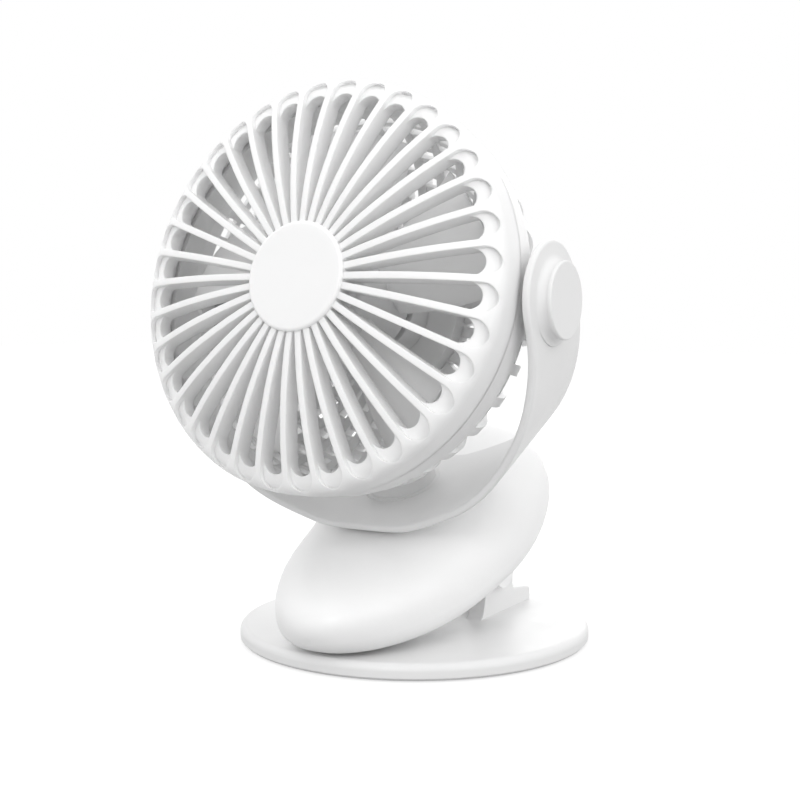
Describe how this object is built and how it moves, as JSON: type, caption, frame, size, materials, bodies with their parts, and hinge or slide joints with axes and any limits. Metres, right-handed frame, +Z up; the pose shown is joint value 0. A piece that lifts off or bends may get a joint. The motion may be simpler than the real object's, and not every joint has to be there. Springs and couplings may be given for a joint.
{
  "type": "clip fan",
  "caption": "Small white clip-on fan: ribbed round head in a U-shaped yoke on a pebble-shaped spring clip over a round weighted base.",
  "frame": {"origin": "centre of the round base, on the plane of its rubber foot", "axes": "+Z up, -Y towards the front of the clip and the side the fan blows to, +X to the right seen from the front with the viewer looking along +Y"},
  "size_m": [0.1458, 0.1392, 0.1853],
  "materials": {
    "white_gloss": "smooth, softly glossy white moulding",
    "white_satin": "satin white moulding",
    "impeller_white": "satin, slightly translucent white moulding",
    "rubber_white": "matt silicone",
    "rubber_grey": "matt rubber foot",
    "steel": "zinc plated",
    "spring_steel": "drawn wire",
    "circuit_board": "solder mask",
    "switch_black": "matt black",
    "battery_wrap": "shrink sleeve",
    "clear_lens": "clear acrylic"
  },
  "bodies": {
    "base": {"base_top": "white_satin", "base_weight": "steel", "base_pad": "rubber_grey", "base_screws": "steel", "hinge_pin": "steel", "torsion_spring": "spring_steel"},
    "clip_body": {"jaw_shell": "white_gloss", "jaw_bottom_cover": "white_gloss", "jaw_pad": "rubber_white", "jaw_screws": "steel", "battery_cell": "battery_wrap", "swivel_post": "white_satin", "swivel_clip": "steel", "swivel_nut": "steel"},
    "yoke": {"yoke": "white_satin", "swivel_washer": "steel", "swivel_cover": "white_satin", "knob_cap_right": "white_satin", "knob_cap_left": "white_satin"},
    "head": {"pivot_screws": "steel", "pivot_washers": "rubber_white", "spring_washers": "steel", "front_grille": "white_gloss", "rear_grille": "white_gloss", "motor": "steel", "control_board": "circuit_board", "tact_switch": "switch_black", "charge_port": "steel", "led_lens": "clear_lens", "rear_cover": "white_satin", "cover_screws": "steel"},
    "fan": {"impeller": "impeller_white", "rotor_shaft": "steel"},
    "button": {"power_button": "white_gloss"}
  },
  "joints": [
    {"name": "jaw_open", "type": "hinge", "parent": "base", "child": "clip_body", "pos_m": [0, 0.0195, 0.0225], "axis": [-1, 0, 0], "range_deg": [0, 35], "stiffness_Nm_per_rad": 0.9, "springref_deg": -51.57, "deforming": ["torsion_spring"]},
    {"name": "yoke_swivel", "type": "hinge", "parent": "clip_body", "child": "yoke", "pos_m": [0, -0.03619, 0.11689], "axis": [0, -0.4067, 0.9135], "range_deg": [-175, 175]},
    {"name": "head_tilt", "type": "hinge", "parent": "yoke", "child": "head", "pos_m": [0, -0.03619, 0.11689], "axis": [-1, 0, 0], "range_deg": [-30, 90]},
    {"name": "fan_spin", "type": "hinge", "parent": "head", "child": "fan", "pos_m": [0, -0.03619, 0.11689], "axis": [0, -0.9784, 0.2065], "continuous": true},
    {"name": "button_press", "type": "slide", "parent": "head", "child": "button", "axis": [0, -0.9784, 0.2065], "range_m": [0, 0.0007], "stiffness_N_per_m": 400, "springref_m": -0.0008}
  ]
}
